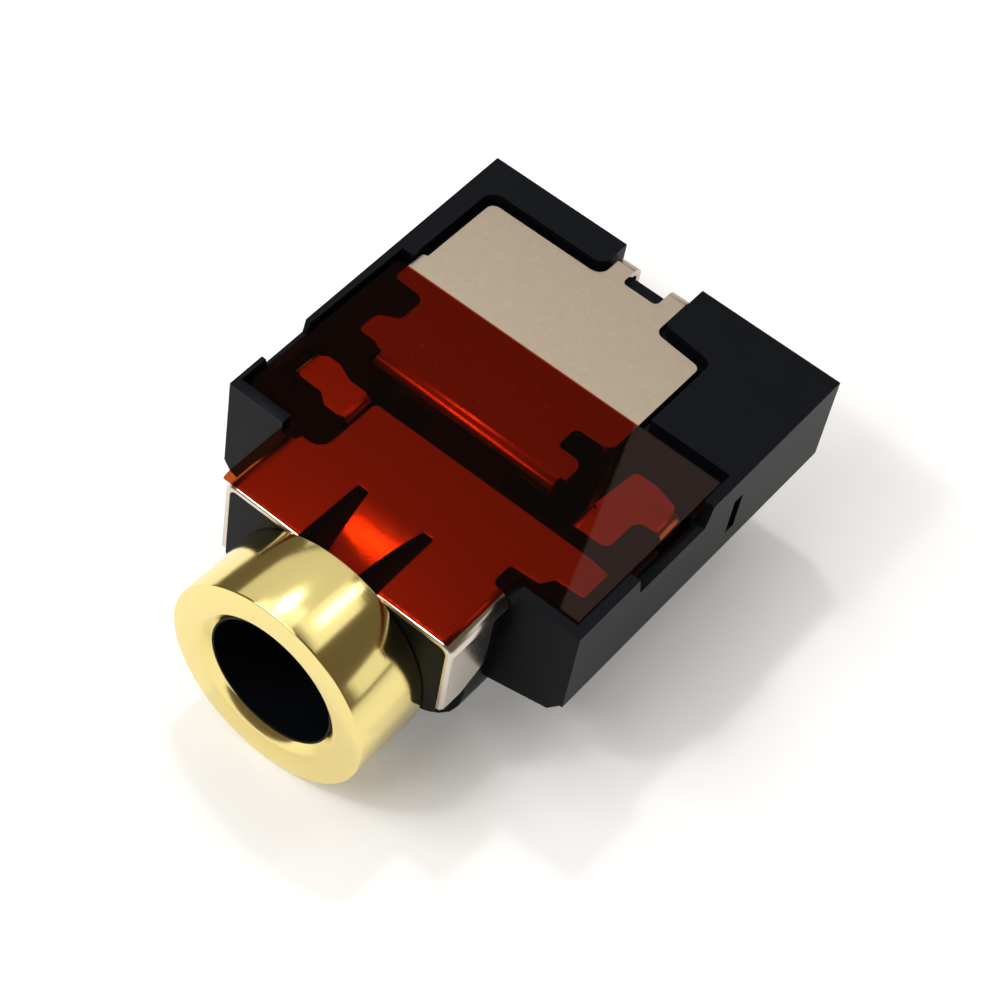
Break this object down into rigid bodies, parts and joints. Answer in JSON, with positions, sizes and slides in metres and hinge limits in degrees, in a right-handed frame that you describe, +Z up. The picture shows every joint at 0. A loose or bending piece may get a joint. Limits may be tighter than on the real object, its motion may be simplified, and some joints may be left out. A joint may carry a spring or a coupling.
{
  "type": "audio jack socket",
  "caption": "Mid-mount audio jack socket with a gilt round bush, a black moulded housing, sheet-metal contacts and a clear amber film over its deck; takes a headphone plug.",
  "frame": {"origin": "on the plug axis at the bush's front face", "axes": "+Y along the plug axis from the bush to the rear, +X to the right seen from above with the bush in front, +Z up out of the contact deck"},
  "size_m": [0.0112, 0.0154, 0.006],
  "materials": {
    "housing_plastic": "moulded, satin",
    "gilt_brass": "turned and gold plated, polished",
    "bracket_metal": "plated sheet, satin",
    "plate_metal": "plated sheet, satin",
    "contact_metal": "plated spring sheet, satin",
    "amber_film": "clear amber film, gloss"
  },
  "bodies": {
    "body": {"housing": "housing_plastic", "bush": "gilt_brass", "front_bracket": "bracket_metal", "rear_plate": "plate_metal", "pickup_film": "amber_film"},
    "left_spring": {"left_contact": "contact_metal"},
    "right_spring": {"right_contact": "contact_metal"}
  },
  "joints": [
    {"name": "left_spring_flex", "type": "hinge", "parent": "body", "child": "left_spring", "pos_m": [-0.00274, 0.0063, 0.00085], "axis": [0, 0, 1], "range_deg": [0, 4.8], "stiffness_Nm_per_rad": 0.06},
    {"name": "right_spring_flex", "type": "hinge", "parent": "body", "child": "right_spring", "pos_m": [0.0033, 0.0076, 0.00085], "axis": [0, 0, -1], "range_deg": [0, 3.4], "stiffness_Nm_per_rad": 0.06}
  ]
}
